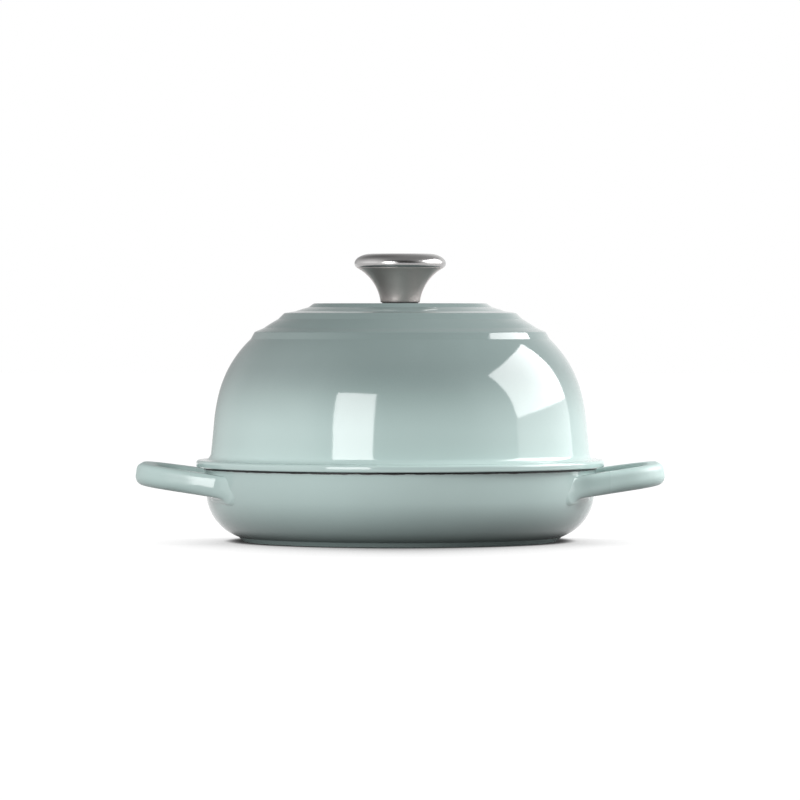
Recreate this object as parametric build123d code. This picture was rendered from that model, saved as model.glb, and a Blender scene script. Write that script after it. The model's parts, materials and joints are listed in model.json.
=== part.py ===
"""Bread cloche: a shallow round pan with two loop handles and a domed lid with a bolted-on knob.

Millimetres. +Z is up, the handles reach along +X and -X, and the origin is the centre of the
plane that the foot ring rests on. Outlines are drawn as radius against height and turned about Z.
"""

from build123d import *
from math import asin, cos, degrees, radians, sin, sqrt, tan
import os

# Pan casting
PAN_RIM_RADIUS = 120.5
PAN_HEIGHT = 45.4
PAN_WALL = 3.8
PAN_DRAFT = 5.2
PAN_BELLY_RADIUS = 29.0
PAN_FLOOR = 4.0
PAN_RIM_OUTER_ROUND = 0.8
PAN_RIM_INNER_ROUND = 0.8

# Foot ring under the pan
FOOT_INSET = 24.0
FOOT_WIDTH = 14.0
FOOT_HEIGHT = 1.2
FOOT_SLOPE = 45.0

# Ridges on the pan's floor
RIDGE_PITCH = 15.0
RIDGE_MARGIN = 12.0
RIDGE_WIDTH = 3.6
RIDGE_HEIGHT = 0.8

# Loop handles, measured in the plane that they tilt up in
HANDLE_PROJECTION = 40.75
HANDLE_TIP_DROP = 4.25
HANDLE_TILT = 8.1
HANDLE_BAR_WIDTH = 11.6
HANDLE_BAR_HEIGHT = 13.5
HANDLE_TOP_ROUND = 3.8
HANDLE_UNDER_ROUND = 5.6
HANDLE_TIP_HALF_WIDTH = 42.0
HANDLE_SPREAD = 15.0
HANDLE_CORNER_RADIUS = 32.0
HANDLE_ROOT_RADIUS = 26.0
HANDLE_GAP_CORNER = 9.0
HANDLE_ROOT_SINK = 2.0

# Lid casting
LID_WALL = 3.7
FLANGE_OVERHANG = 4.6
FLANGE_LEDGE = 8.4
FLANGE_THICKNESS = 4.4
FLANGE_TOP_ROUND = 1.8
FLANGE_BOTTOM_ROUND = 0.9
FLANGE_COVE_RADIUS = 4.0
LIP_DEPTH = 2.8
LIP_THICKNESS = 2.6
LIP_CLEARANCE = 0.6
LIP_ROUND = 0.7

# Dome outline: a straight lean, a wide waist arc, the shoulder arc, then the flatter crown arc
DOME_LEAN = 5.9
DOME_STRAIGHT = 23.8
DOME_WAIST_RADIUS = 124.5
DOME_SHOULDER_LEAN = 13.3
DOME_SHOULDER_RADIUS = 69.5
DOME_CROWN_RADIUS = 79.7

# Raised steps on the crown, as angles round the crown arc's centre from the horizontal
STEP_RISE = 1.6
PLATE_EDGE_ANGLE = 78.6
PLATE_FOOT_ANGLE = 75.9
BAND_DIP_ANGLE = 69.9
BAND_EDGE_ANGLE = 65.1
BAND_FOOT_ANGLE = 61.6
RING_DIP_ANGLE = 54.2
RING_EDGE_ANGLE = 49.9
RING_FOOT_ANGLE = 46.7
STEP_EDGE_ROUND = 1.4
STEP_FOOT_ROUND = 0.6
STEP_DIP_ROUND = 7.0

# Knob, from the gasket up
GASKET_THICKNESS = 0.5
GASKET_INSET = 1.0
STEM_BASE_RADIUS = 12.0
STEM_BASE_ROUND = 0.9
STEM_RIM_RADIUS = 26.9
STEM_HEIGHT = 21.5
STEM_FLARE_RADIUS = 28.0
STEM_WALL = 2.0
STEM_HUB_HEIGHT = 13.0
CAP_HEIGHT = 8.6
CAP_RADIUS = 28.0
CAP_WIDEST_HEIGHT = 2.5
CAP_UNDER_ROUND = 3.5
CAP_TOP_REACH = 10.5
CAP_CROWN = 0.2
CAP_WALL = 1.6
CAP_SPIGOT_DEPTH = 1.5
CAP_SPIGOT_CLEARANCE = 0.2

# Insert, bolt and washers
BOLT_RADIUS = 3.0
BOLT_LENGTH = 20.0
BOLT_HEAD_RADIUS = 6.0
BOLT_HEAD_HEIGHT = 3.8
BOLT_HEAD_ROUND = 1.6
BOLT_TIP_CHAMFER = 0.8
THREAD_CLEARANCE = 0.05
BOLT_HOLE_CLEARANCE = 0.4
RECESS_LENGTH = 6.6
RECESS_WIDTH = 1.2
RECESS_DEPTH = 2.2
INSERT_WALL = 2.0
INSERT_FLANGE = 3.0
INSERT_FLANGE_THICKNESS = 1.6
INSERT_CLEARANCE = 0.03
INSERT_SHORTFALL = 0.6
FLAT_WASHER_RADIUS = 9.0
FLAT_WASHER_THICKNESS = 1.6
SPRING_WASHER_RADIUS = 5.9
SPRING_WASHER_THICKNESS = 1.5
SPRING_WASHER_GAP = 0.9
SPRING_WASHER_CUT_ANGLE = 25.0
WASHER_HOLE_CLEARANCE = 0.2

# How near two radii must be to count as the same
SAME_RADIUS = 0.01

# Pan levels and radii
pan_lean = tan(radians(PAN_DRAFT))
foot_radius = PAN_RIM_RADIUS - FOOT_INSET
pan_floor_top = FOOT_HEIGHT + PAN_FLOOR
pan_mouth_radius = PAN_RIM_RADIUS - PAN_WALL
handle_reach = PAN_RIM_RADIUS + HANDLE_PROJECTION

# Dome arcs
lid_seat = PAN_HEIGHT
flange_radius = PAN_RIM_RADIUS + FLANGE_OVERHANG
flange_top = lid_seat + FLANGE_THICKNESS
lip_bottom = lid_seat - LIP_DEPTH


def polar(centre, radius, angle):
    """Point at an angle in degrees round a centre, in an outline's own plane."""
    return (centre[0] + radius * cos(radians(angle)), centre[1] + radius * sin(radians(angle)))


def arc_centre(start, end, radius):
    """Centre of the arc of a radius that bends from start to end with its hollow side to the right."""
    across = (end[0] - start[0], end[1] - start[1])
    chord = sqrt(across[0] ** 2 + across[1] ** 2)
    rise = sqrt(radius ** 2 - (chord / 2) ** 2)
    return ((start[0] + end[0]) / 2 + rise * across[1] / chord, (start[1] + end[1]) / 2 - rise * across[0] / chord)


dome_foot = (flange_radius - FLANGE_LEDGE, flange_top)
waist_start = polar(dome_foot, DOME_STRAIGHT, 90 + DOME_LEAN)
waist_centre = polar(waist_start, -DOME_WAIST_RADIUS, DOME_LEAN)
shoulder_start = polar(waist_centre, DOME_WAIST_RADIUS, DOME_SHOULDER_LEAN)
shoulder_centre = polar(shoulder_start, -DOME_SHOULDER_RADIUS, DOME_SHOULDER_LEAN)
crown_start = polar(shoulder_centre, DOME_SHOULDER_RADIUS, RING_FOOT_ANGLE)
crown_centre = polar(crown_start, -DOME_CROWN_RADIUS, RING_FOOT_ANGLE)
plate_top = polar(crown_centre, DOME_CROWN_RADIUS + STEP_RISE, PLATE_EDGE_ANGLE)[1]
lid_ceiling = crown_centre[1] + DOME_CROWN_RADIUS - LID_WALL

# Knob and bolt levels and radii
stem_base = plate_top + GASKET_THICKNESS
stem_rim = stem_base + STEM_HEIGHT
hub_top = stem_base + STEM_HUB_HEIGHT
cap_widest = stem_rim + CAP_WIDEST_HEIGHT
cap_top = stem_rim + CAP_HEIGHT
flare_centre = arc_centre((STEM_BASE_RADIUS, stem_base), (STEM_RIM_RADIUS, stem_rim), STEM_FLARE_RADIUS)
bolt_hole_radius = BOLT_RADIUS + BOLT_HOLE_CLEARANCE
insert_radius = BOLT_RADIUS + INSERT_WALL
washer_hole_radius = BOLT_RADIUS + WASHER_HOLE_CLEARANCE
flat_washer_bottom = lid_ceiling - FLAT_WASHER_THICKNESS
bolt_head_top = flat_washer_bottom - SPRING_WASHER_THICKNESS


def outline(points):
    """Face inside a closed row of straight lines."""
    return make_face(Polyline(*points, close=True))


def rounded(face, corners):
    """Round each given corner of a face. Corners are pairs of a point and a radius."""
    for point, radius in corners:
        nearest = face.vertices().sort_by_distance(Vector(*point))[0]
        face = fillet(nearest, radius)
    return face


def turned(face):
    """Turn a face drawn as radius against height about Z."""
    return revolve(Plane.XZ * face, Axis.Z)


def disc(inner_radius, outer_radius, bottom, top):
    """Flat ring, or a round bar where the inner radius is nothing."""
    section = [(inner_radius, bottom), (outer_radius, bottom), (outer_radius, top), (inner_radius, top)]
    return turned(outline(section))


def pan_wall_radius(height, rim_radius):
    """Radius of a leaning pan wall at a height, before the belly rounds it in."""
    return rim_radius - pan_lean * (PAN_HEIGHT - height)


def pan_section(bottom, rim_radius, belly_radius):
    """Half section of the pan's outside or inside: leaning wall and rounded belly."""
    corner = (pan_wall_radius(bottom, rim_radius), bottom)
    face = outline([(0, bottom), corner, (rim_radius, PAN_HEIGHT), (0, PAN_HEIGHT)])
    return rounded(face, [(corner, belly_radius)])


def foot_section():
    """Ring that the pan stands on, run up into the casting above it."""
    run_up = FOOT_HEIGHT + PAN_FLOOR / 2
    flare = run_up / tan(radians(FOOT_SLOPE))
    inner = foot_radius - FOOT_WIDTH
    return outline([(inner, 0), (foot_radius, 0), (foot_radius + flare, run_up), (inner - flare, run_up)])


def ridge_section(radius):
    """Low rounded ridge on the pan's floor, sunk by its own height."""
    half = RIDGE_WIDTH / 2
    crest = pan_floor_top + RIDGE_HEIGHT
    sunk = pan_floor_top - RIDGE_HEIGHT
    arch = ThreePointArc((radius - half, pan_floor_top), (radius, crest), (radius + half, pan_floor_top))
    bed = Polyline((radius + half, pan_floor_top), (radius + half, sunk), (radius - half, sunk),
                   (radius - half, pan_floor_top))
    return make_face(arch + bed)


def handle():
    """Loop handle on the +X side, tilted up about the Y axis and cut off inside the pan's wall."""
    tilt = radians(HANDLE_TILT)
    reach = handle_reach / cos(tilt)
    root_circle = PAN_RIM_RADIUS - HANDLE_ROOT_SINK
    axis_half_width = HANDLE_TIP_HALF_WIDTH + reach * tan(radians(HANDLE_SPREAD))
    loop = outline([(0, -axis_half_width), (reach, -HANDLE_TIP_HALF_WIDTH),
                    (reach, HANDLE_TIP_HALF_WIDTH), (0, axis_half_width)])
    tips = [((reach, side * HANDLE_TIP_HALF_WIDTH), HANDLE_CORNER_RADIUS) for side in (-1, 1)]
    loop = rounded(loop, tips)
    gap = offset(loop, -HANDLE_BAR_WIDTH) - Circle(root_circle)
    gap = fillet(gap.vertices().sort_by(Axis.X)[:2], HANDLE_GAP_CORNER)
    plan = loop + Circle(root_circle)
    roots = [vertex for vertex in plan.vertices()
             if abs(vertex.center().length - root_circle) < SAME_RADIUS and vertex.X > SAME_RADIUS]
    plan = fillet(roots, HANDLE_ROOT_RADIUS)
    root_end = min(vertex.X for vertex in plan.vertices() if vertex.X > SAME_RADIUS)
    bar = extrude(plan - gap, HANDLE_BAR_HEIGHT / 2, both=True)
    bar = fillet(bar.faces().sort_by(Axis.Z)[-1].edges(), HANDLE_TOP_ROUND)
    bar = fillet(bar.faces().sort_by(Axis.Z)[0].edges(), HANDLE_UNDER_ROUND)
    bar &= Pos(root_end + reach, 0) * Box(2 * reach, 4 * reach, HANDLE_BAR_HEIGHT)
    tip_height = PAN_HEIGHT - HANDLE_TIP_DROP
    axis_height = tip_height - (handle_reach - HANDLE_BAR_WIDTH / 2) * tan(tilt)
    tilted = Plane(origin=(0, 0, axis_height), x_dir=(cos(tilt), 0, sin(tilt)), z_dir=(-sin(tilt), 0, cos(tilt)))
    core_radius = PAN_RIM_RADIUS - PAN_WALL / 2
    core = turned(outline([(0, 0), (pan_wall_radius(0, core_radius), 0), (core_radius, PAN_HEIGHT),
                           (core_radius, 2 * PAN_HEIGHT), (0, 2 * PAN_HEIGHT)]))
    return tilted * bar - core


def pan():
    """Pan casting: floor, belly, wall, foot ring, floor ridges and both handles."""
    inner_belly = PAN_BELLY_RADIUS - PAN_WALL
    outside = pan_section(FOOT_HEIGHT, PAN_RIM_RADIUS, PAN_BELLY_RADIUS)
    inside = pan_section(pan_floor_top, pan_mouth_radius, inner_belly)
    section = outside - inside + foot_section()
    section = rounded(section, [((PAN_RIM_RADIUS, PAN_HEIGHT), PAN_RIM_OUTER_ROUND),
                                ((pan_mouth_radius, PAN_HEIGHT), PAN_RIM_INNER_ROUND)])
    floor_radius = pan_wall_radius(pan_floor_top, pan_mouth_radius) - inner_belly * tan(radians(45 - PAN_DRAFT / 2))
    ridges = int((floor_radius - RIDGE_MARGIN) / RIDGE_PITCH)
    for ridge in range(1, ridges + 1):
        section += ridge_section(ridge * RIDGE_PITCH)
    grip = handle()
    return turned(section) + grip + mirror(grip, Plane.YZ)


def lid_dome():
    """Lid casting: locating lip, flange, dome, raised steps and the hole for the bolt."""
    edge_radius = DOME_CROWN_RADIUS + STEP_RISE
    plate_edge = polar(crown_centre, edge_radius, PLATE_EDGE_ANGLE)
    plate_foot = polar(crown_centre, DOME_CROWN_RADIUS, PLATE_FOOT_ANGLE)
    band_tread = polar(crown_centre, DOME_CROWN_RADIUS, (BAND_DIP_ANGLE + PLATE_FOOT_ANGLE) / 2)
    band_dip = polar(crown_centre, DOME_CROWN_RADIUS, BAND_DIP_ANGLE)
    band_edge = polar(crown_centre, edge_radius, BAND_EDGE_ANGLE)
    band_foot = polar(crown_centre, DOME_CROWN_RADIUS, BAND_FOOT_ANGLE)
    ring_tread = polar(crown_centre, DOME_CROWN_RADIUS, (RING_DIP_ANGLE + BAND_FOOT_ANGLE) / 2)
    ring_dip = polar(crown_centre, DOME_CROWN_RADIUS, RING_DIP_ANGLE)
    ring_edge = polar(crown_centre, edge_radius, RING_EDGE_ANGLE)
    waist_middle = polar(waist_centre, DOME_WAIST_RADIUS, (DOME_LEAN + DOME_SHOULDER_LEAN) / 2)
    shoulder_middle = polar(shoulder_centre, DOME_SHOULDER_RADIUS, (DOME_SHOULDER_LEAN + RING_FOOT_ANGLE) / 2)
    flange_low = (flange_radius, lid_seat)
    flange_high = (flange_radius, flange_top)
    outside = make_face(
        Polyline((0, lid_seat), flange_low, flange_high, dome_foot, waist_start)
        + ThreePointArc(waist_start, waist_middle, shoulder_start)
        + ThreePointArc(shoulder_start, shoulder_middle, crown_start)
        + Polyline(crown_start, ring_edge, ring_dip)
        + ThreePointArc(ring_dip, ring_tread, band_foot)
        + Polyline(band_foot, band_edge, band_dip)
        + ThreePointArc(band_dip, band_tread, plate_foot)
        + Polyline(plate_foot, plate_edge, (0, plate_top), (0, lid_seat)))
    outside = rounded(outside, [
        (flange_low, FLANGE_BOTTOM_ROUND), (flange_high, FLANGE_TOP_ROUND), (dome_foot, FLANGE_COVE_RADIUS),
        (crown_start, STEP_FOOT_ROUND), (ring_edge, STEP_EDGE_ROUND), (ring_dip, STEP_DIP_ROUND),
        (band_foot, STEP_FOOT_ROUND), (band_edge, STEP_EDGE_ROUND), (band_dip, STEP_DIP_ROUND),
        (plate_foot, STEP_FOOT_ROUND), (plate_edge, STEP_EDGE_ROUND)])

    inner_waist = DOME_WAIST_RADIUS - LID_WALL
    inner_shoulder = DOME_SHOULDER_RADIUS - LID_WALL
    inner_crown = DOME_CROWN_RADIUS - LID_WALL
    wall_top = polar(waist_centre, inner_waist, DOME_LEAN)
    shoulder_low = polar(waist_centre, inner_waist, DOME_SHOULDER_LEAN)
    shoulder_high = polar(shoulder_centre, inner_shoulder, RING_FOOT_ANGLE)
    ceiling_edge = polar(crown_centre, inner_crown, 90)
    wall_foot = wall_top[0] + (wall_top[1] - lip_bottom) * tan(radians(DOME_LEAN))
    inside = make_face(
        Polyline((0, lip_bottom), (wall_foot, lip_bottom), wall_top)
        + ThreePointArc(wall_top, polar(waist_centre, inner_waist, (DOME_LEAN + DOME_SHOULDER_LEAN) / 2),
                        shoulder_low)
        + ThreePointArc(shoulder_low, polar(shoulder_centre, inner_shoulder,
                                            (DOME_SHOULDER_LEAN + RING_FOOT_ANGLE) / 2), shoulder_high)
        + ThreePointArc(shoulder_high, polar(crown_centre, inner_crown, (RING_FOOT_ANGLE + 90) / 2), ceiling_edge)
        + Polyline(ceiling_edge, (0, lid_ceiling), (0, lip_bottom)))
    lip_outer = pan_wall_radius(lip_bottom, pan_mouth_radius) - LIP_CLEARANCE
    lip_inner = lip_outer - LIP_THICKNESS
    lip = outline([(0, lip_bottom), (lip_outer, lip_bottom), (lip_outer, lid_seat), (0, lid_seat)])
    inside &= outline([(0, lip_bottom), (lip_inner, lip_bottom), (lip_inner, plate_top), (0, plate_top)])
    section = rounded(outside + lip - inside, [((lip_outer, lip_bottom), LIP_ROUND),
                                               ((lip_inner, lip_bottom), LIP_ROUND)])
    return turned(section) - disc(0, bolt_hole_radius, lid_seat, cap_top)


def knob_gasket():
    """Thin heat-proof ring between the knob's foot and the lid."""
    return disc(bolt_hole_radius, STEM_BASE_RADIUS - GASKET_INSET, plate_top, stem_base)


def flare_point(height, wall):
    """Point of the stem's flared side at a height, moved in from the outside by a wall thickness."""
    reach = sqrt((STEM_FLARE_RADIUS + wall) ** 2 - (height - flare_centre[1]) ** 2)
    return (flare_centre[0] - reach, height)


def flare_section(bottom, top, wall):
    """Half section of the stem's outside, or of the cup inside it, between two heights."""
    low, middle, high = [flare_point(height, wall) for height in (bottom, (bottom + top) / 2, top)]
    return make_face(Polyline(high, (0, top), (0, bottom), low) + ThreePointArc(low, middle, high))


def knob_stem():
    """Flared body of the knob: a hub bored for the insert, and a cup that the cap closes."""
    outside = flare_section(stem_base, stem_rim, 0)
    outside = rounded(outside, [((STEM_BASE_RADIUS, stem_base), STEM_BASE_ROUND)])
    cup = flare_section(hub_top, stem_rim, STEM_WALL)
    return turned(outside - cup) - disc(0, insert_radius + INSERT_CLEARANCE, stem_base, hub_top)


def cap_section(wall):
    """Half section of the cap's outside, or of the hollow a wall thickness inside it."""
    under_centre = (CAP_RADIUS - CAP_UNDER_ROUND, cap_widest)
    under_round = CAP_UNDER_ROUND - wall
    bottom = stem_rim + wall
    under_angle = degrees(asin((bottom - cap_widest) / under_round))
    foot = polar(under_centre, under_round, under_angle)
    side = (CAP_RADIUS - wall, cap_widest)
    rise = cap_top - CAP_CROWN - cap_widest - wall
    shoulder = (CAP_RADIUS - CAP_TOP_REACH, cap_widest + rise)
    return make_face(
        Polyline((0, cap_top - wall), (0, bottom), foot)
        + ThreePointArc(foot, polar(under_centre, under_round, under_angle / 2), side)
        + EllipticalCenterArc((shoulder[0], cap_widest), CAP_TOP_REACH - wall, rise, start_angle=0, arc_size=90)
        + Line(shoulder, (0, cap_top - wall)))


def knob_cap():
    """Pressed top of the knob: a slightly crowned plate with a rolled rim and a spigot in the stem's mouth."""
    inner_floor = stem_rim + CAP_WALL
    spigot_bottom = stem_rim - CAP_SPIGOT_DEPTH
    spigot_outer = flare_point(spigot_bottom, STEM_WALL)[0] - CAP_SPIGOT_CLEARANCE
    spigot_inner = spigot_outer - CAP_WALL
    spigot = outline([(0, spigot_bottom), (spigot_outer, spigot_bottom), (spigot_outer, inner_floor),
                      (0, inner_floor)])
    mouth = outline([(0, spigot_bottom), (spigot_inner, spigot_bottom), (spigot_inner, inner_floor),
                     (0, inner_floor)])
    return turned(cap_section(0) + spigot - cap_section(CAP_WALL) - mouth)


def knob_insert():
    """Threaded bush that hangs by its flange on the floor of the stem's cup."""
    bottom = stem_base + INSERT_SHORTFALL
    top = hub_top + INSERT_FLANGE_THICKNESS
    bush = disc(BOLT_RADIUS, insert_radius, bottom, top)
    return bush + disc(BOLT_RADIUS, insert_radius + INSERT_FLANGE, hub_top, top)


def flat_washer():
    """Wide washer against the inside of the lid."""
    return disc(washer_hole_radius, FLAT_WASHER_RADIUS, flat_washer_bottom, lid_ceiling)


def spring_washer():
    """Split washer, clamped flat, with a slanted cut on its +X side."""
    ring = disc(washer_hole_radius, SPRING_WASHER_RADIUS, bolt_head_top, flat_washer_bottom)
    middle = (bolt_head_top + flat_washer_bottom) / 2
    saw = Box(SPRING_WASHER_RADIUS, SPRING_WASHER_GAP, 4 * SPRING_WASHER_THICKNESS)
    return ring - Pos(SPRING_WASHER_RADIUS, 0, middle) * Rot(SPRING_WASHER_CUT_ANGLE, 0, 0) * saw


def lid_bolt():
    """Bolt put in from inside the lid, head down, with a cross recess in its rounded head."""
    shank_radius = BOLT_RADIUS - THREAD_CLEARANCE
    tip = bolt_head_top + BOLT_LENGTH
    head_bottom = bolt_head_top - BOLT_HEAD_HEIGHT
    section = outline([(0, head_bottom), (BOLT_HEAD_RADIUS, head_bottom), (BOLT_HEAD_RADIUS, bolt_head_top),
                       (shank_radius, bolt_head_top), (shank_radius, tip - BOLT_TIP_CHAMFER),
                       (shank_radius - BOLT_TIP_CHAMFER, tip), (0, tip)])
    section = rounded(section, [((BOLT_HEAD_RADIUS, head_bottom), BOLT_HEAD_ROUND)])
    slot = Pos(0, 0, head_bottom) * Box(RECESS_LENGTH, RECESS_WIDTH, 2 * RECESS_DEPTH)
    return turned(section) - slot - Rot(0, 0, 90) * slot


os.makedirs("parts", exist_ok=True)
for make in (pan, lid_dome, knob_gasket, knob_stem, knob_cap, knob_insert, flat_washer, spring_washer, lid_bolt):
    export_step(make(), f"parts/{make.__name__}.step")
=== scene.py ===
"""Looks of the bread cloche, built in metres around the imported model.

Sizes are written in millimetres, as on a drawing. +Z is up, the handles reach along +X and -X,
and the photograph looks along +Y.
"""

from __future__ import annotations

import json
import logging
import math
from dataclasses import dataclass, field
from enum import Enum
from typing import Any, Iterable, Sequence

import bpy
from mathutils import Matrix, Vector

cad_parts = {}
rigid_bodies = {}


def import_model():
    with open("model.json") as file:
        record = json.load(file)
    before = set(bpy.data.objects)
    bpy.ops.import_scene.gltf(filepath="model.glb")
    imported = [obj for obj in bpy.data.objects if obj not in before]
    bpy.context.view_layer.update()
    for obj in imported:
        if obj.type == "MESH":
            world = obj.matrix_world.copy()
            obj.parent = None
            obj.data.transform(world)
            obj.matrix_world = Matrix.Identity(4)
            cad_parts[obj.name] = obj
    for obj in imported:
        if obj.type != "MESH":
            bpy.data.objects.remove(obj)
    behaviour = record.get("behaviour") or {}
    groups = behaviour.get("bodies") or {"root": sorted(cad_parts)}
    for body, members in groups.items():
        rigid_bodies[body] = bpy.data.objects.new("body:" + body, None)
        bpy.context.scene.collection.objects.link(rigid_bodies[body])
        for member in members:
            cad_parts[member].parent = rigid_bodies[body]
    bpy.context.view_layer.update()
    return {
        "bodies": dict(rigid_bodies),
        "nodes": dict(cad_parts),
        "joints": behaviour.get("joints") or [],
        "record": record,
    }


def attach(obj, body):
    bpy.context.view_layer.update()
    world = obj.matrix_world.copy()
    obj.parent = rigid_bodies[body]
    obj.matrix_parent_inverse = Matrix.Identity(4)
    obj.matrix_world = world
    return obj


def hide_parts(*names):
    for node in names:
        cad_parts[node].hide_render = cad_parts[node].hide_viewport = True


LOG = logging.getLogger("bread_cloche")
MM = 0.001

Point = tuple[float, float]
Colour = tuple[float, float, float]
Ring = list[Vector]


class Body(Enum):
    """What a piece moves with."""

    PAN = "pan"
    LID = "lid"
    BOLT = "bolt"


class Slot(Enum):
    """Material slots of the record."""

    ENAMEL = "enamelled_iron"
    STEEL = "satin_steel"
    FASTENER = "fastener_steel"


class Gloss(Enum):
    """Which enamel a stretch of an outline carries."""

    COLOURED = True
    BLACK = False


class Field:
    """One output of a node, with sums written as in Python."""

    def __init__(self, bench: Bench, socket: bpy.types.NodeSocket) -> None:
        """Hold a socket and the bench that its nodes are made on."""
        self.bench = bench
        self.socket = socket

    def __add__(self, other: Field | float) -> Field:
        """Sum."""
        return self.bench.sum("ADD", self, other)

    def __radd__(self, other: float) -> Field:
        """Sum with a number first."""
        return self.bench.sum("ADD", other, self)

    def __sub__(self, other: Field | float) -> Field:
        """Difference."""
        return self.bench.sum("SUBTRACT", self, other)

    def __rsub__(self, other: float) -> Field:
        """Difference with a number first."""
        return self.bench.sum("SUBTRACT", other, self)

    def __mul__(self, other: Field | float) -> Field:
        """Product."""
        return self.bench.sum("MULTIPLY", self, other)

    def __rmul__(self, other: float) -> Field:
        """Product with a number first."""
        return self.bench.sum("MULTIPLY", other, self)

    def __truediv__(self, other: Field | float) -> Field:
        """Quotient."""
        return self.bench.sum("DIVIDE", self, other)

    def __rtruediv__(self, other: float) -> Field:
        """Quotient with a number first."""
        return self.bench.sum("DIVIDE", other, self)


class Bench:
    """Makes and links the nodes of one tree."""

    def __init__(self, tree: bpy.types.NodeTree) -> None:
        """Start on an emptied tree."""
        self.tree = tree
        tree.nodes.clear()

    def node(self, kind: str, settings: dict[str, Any] | None = None,
             inputs: dict[str | int, Any] | None = None) -> bpy.types.Node:
        """Make a node.

        Args:
            kind: The node's type.
            settings: Its properties, set before the sockets. "stops" gives a ramp's stops.
            inputs: A value, a Field or a socket for each input, by identifier, name or number.

        Returns:
            The node.
        """
        made = self.tree.nodes.new(kind)
        for name, value in (settings or {}).items():
            if name == "stops":
                self._set_stops(made.color_ramp, value)
            else:
                setattr(made, name, value)
        for key, value in (inputs or {}).items():
            self._feed(self._input(made, key), value)
        return made

    def output(self, node: bpy.types.Node, key: str | int = 0) -> Field:
        """One output of a node, by name or number."""
        return Field(self, node.outputs[key])

    def make(self, kind: str, settings: dict[str, Any] | None = None,
             inputs: dict[str | int, Any] | None = None, output: str | int = 0) -> Field:
        """Make a node and give one of its outputs."""
        return self.output(self.node(kind, settings, inputs), output)

    def sum(self, operation: str, *values: Field | float) -> Field:
        """Result of a Math node."""
        return self.make("ShaderNodeMath", {"operation": operation}, dict(enumerate(values)))

    def clamped(self, value: Field) -> Field:
        """A number held between 0 and 1."""
        return self.make("ShaderNodeClamp", {}, {"Value": value})

    def step(self, value: Field, start: float, end: float) -> Field:
        """0 below start, 1 above end, and smooth between them."""
        return self.make("ShaderNodeMapRange", {"interpolation_type": "SMOOTHSTEP"},
                         {"Value": value, "From Min": start, "From Max": end})

    def mix_colours(self, factor: Field | float, first: Field | Colour, second: Field | Colour) -> Field:
        """Blend from the first colour to the second."""
        return self.make("ShaderNodeMix", {"data_type": "RGBA"},
                         {"Factor_Float": factor, "A_Color": first, "B_Color": second}, 2)

    def noise(self, where: Field, size: float, detail: float = 2.0, roughness: float = 0.5) -> Field:
        """Noise between 0 and 1, with grains of about a size in metres."""
        return self.make("ShaderNodeTexNoise", {}, {
            "Vector": where, "Scale": 1.0 / size, "Detail": detail, "Roughness": roughness})

    def stretched(self, where: Field, scale: Sequence[float]) -> Field:
        """Coordinates stretched along each axis."""
        return self.make("ShaderNodeVectorMath", {"operation": "MULTIPLY"}, {0: where, 1: tuple(scale)})

    def rays(self, *kinds: str) -> Field:
        """Tell rays of some kinds from the rest.

        Args:
            kinds: The kinds, as the Light Path node names them.

        Returns:
            1 for a ray of one of the kinds, and 0 for any other.
        """
        path = self.node("ShaderNodeLightPath")
        told = self.output(path, kinds[0])
        for kind in kinds[1:]:
            told = self.sum("MAXIMUM", told, self.output(path, kind))
        return told

    @staticmethod
    def _input(node: bpy.types.Node, key: str | int) -> bpy.types.NodeSocket:
        """Find an input.

        Args:
            node: The node.
            key: The input's identifier, name or number.

        Returns:
            The input.
        """
        if isinstance(key, int):
            return node.inputs[key]
        for socket in node.inputs:
            if socket.identifier == key:
                return socket
        return node.inputs[key]

    def _feed(self, socket: bpy.types.NodeSocket, value: Any) -> None:
        """Link a socket, or set its value.

        Args:
            socket: The input to feed.
            value: A Field or a socket to link, or else a plain value.
        """
        if isinstance(value, Field):
            self.tree.links.new(value.socket, socket)
        elif isinstance(value, bpy.types.NodeSocket):
            self.tree.links.new(value, socket)
        elif socket.type == "RGBA" and len(value) == 3:
            socket.default_value = (*value, 1.0)
        else:
            socket.default_value = value

    @staticmethod
    def _set_stops(ramp: bpy.types.ColorRamp, stops: Iterable[tuple[float, float]]) -> None:
        """Give a ramp its grey stops.

        Args:
            ramp: The ramp.
            stops: Each stop's position and level.
        """
        rows = list(stops)
        while len(ramp.elements) < len(rows):
            ramp.elements.new(1.0)
        for element, (position, level) in zip(ramp.elements, rows):
            element.position = position
            element.color = (level, level, level, 1.0)


@dataclass(frozen=True)
class Corner:
    """One corner of an outline that is turned about Z, in millimetres."""

    radius: float
    height: float
    fillet: float = 0.0
    gloss: Gloss = Gloss.COLOURED


@dataclass(frozen=True)
class OutlinePoint:
    """One point of a finished outline, with its distance into the coloured enamel."""

    radius: float
    height: float
    coat: float


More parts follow.
